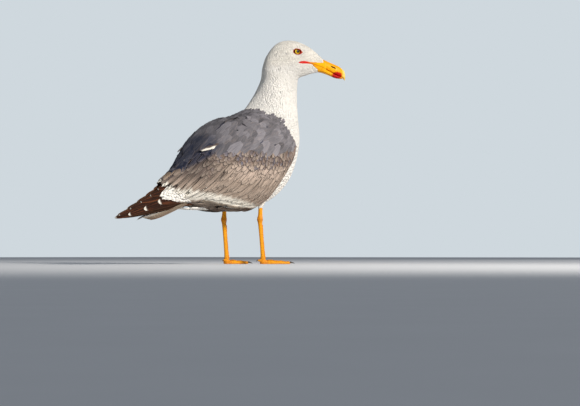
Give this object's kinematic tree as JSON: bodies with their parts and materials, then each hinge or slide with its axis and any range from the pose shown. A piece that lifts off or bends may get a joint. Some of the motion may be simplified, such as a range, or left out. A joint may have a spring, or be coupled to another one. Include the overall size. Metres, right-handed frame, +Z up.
{
  "type": "yellow-legged gull",
  "caption": "Life-size still model of an adult white-headed gull standing on both legs, grey wings folded, head turned to its right, hooked yellow bill.",
  "frame": {"origin": "middle of the bounding box in plan, on the floor that the feet stand on", "axes": "+X forward along the body, +Y to the bird's left, +Z up; the head is turned 32 degrees to the right of +X"},
  "size_m": [0.4788, 0.131, 0.3769],
  "materials": {
    "white_coat": "matt feathers over flesh",
    "tail_feathers": "matt feathers",
    "mantle_feathers": "matt feathers",
    "wing_tip_feathers": "matt feathers with a slight sheen",
    "bill_horn": "smooth horn, half gloss",
    "eye": "wet, glossy",
    "eyelid": "bare skin, satin",
    "leg_skin": "scaly skin, satin",
    "claw_horn": "smooth horn, half gloss"
  },
  "bodies": {
    "root": {"head": "white_coat", "neck": "white_coat", "trunk": "white_coat", "tail": "tail_feathers", "bill_upper": "bill_horn", "bill_lower": "bill_horn", "wing_right": "mantle_feathers", "primaries_right": "wing_tip_feathers", "eye_right": "eye", "eyelid_right": "eyelid", "thigh_right": "white_coat", "leg_right": "leg_skin", "foot_right": "leg_skin", "claw_inner_right": "claw_horn", "claw_middle_right": "claw_horn", "claw_outer_right": "claw_horn", "claw_hind_right": "claw_horn", "wing_left": "mantle_feathers", "primaries_left": "wing_tip_feathers", "eye_left": "eye", "eyelid_left": "eyelid", "thigh_left": "white_coat", "leg_left": "leg_skin", "foot_left": "leg_skin", "claw_inner_left": "claw_horn", "claw_middle_left": "claw_horn", "claw_outer_left": "claw_horn", "claw_hind_left": "claw_horn"}
  },
  "joints": []
}
